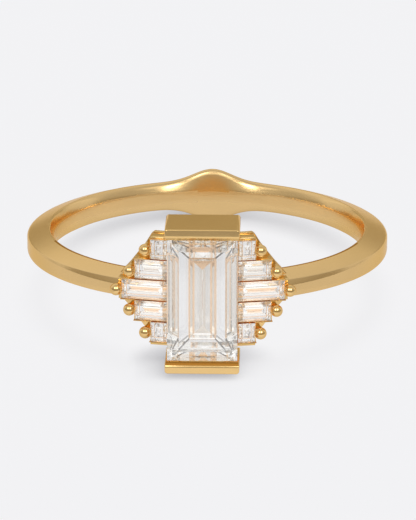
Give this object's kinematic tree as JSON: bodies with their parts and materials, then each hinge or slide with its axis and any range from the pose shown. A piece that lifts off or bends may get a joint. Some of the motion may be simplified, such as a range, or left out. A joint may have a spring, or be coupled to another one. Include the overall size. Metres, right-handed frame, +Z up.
{
  "type": "diamond ring",
  "caption": "Polished yellow gold finger ring with an upright step-cut centre stone between two end bars, stepped fans of small baguettes held by beads, and a pointed back.",
  "frame": {"origin": "on the surface the ring lies on, below the middle of its outline seen from above", "axes": "+Z up from the surface; -Y is the side of the stones; +X to the right as the stones are faced. The finger's axis leans from +Z towards +Y by the ring's rest tilt"},
  "size_m": [0.0194, 0.0214, 0.0081],
  "materials": {
    "gold": "polished",
    "diamond": "polished"
  },
  "bodies": {
    "root": {"mounting": "gold", "centre_stone": "diamond", "side_stone_left_1": "diamond", "side_stone_left_2": "diamond", "side_stone_left_3": "diamond", "side_stone_left_4": "diamond", "side_stone_left_5": "diamond", "side_stone_right_1": "diamond", "side_stone_right_2": "diamond", "side_stone_right_3": "diamond", "side_stone_right_4": "diamond", "side_stone_right_5": "diamond"}
  },
  "joints": []
}
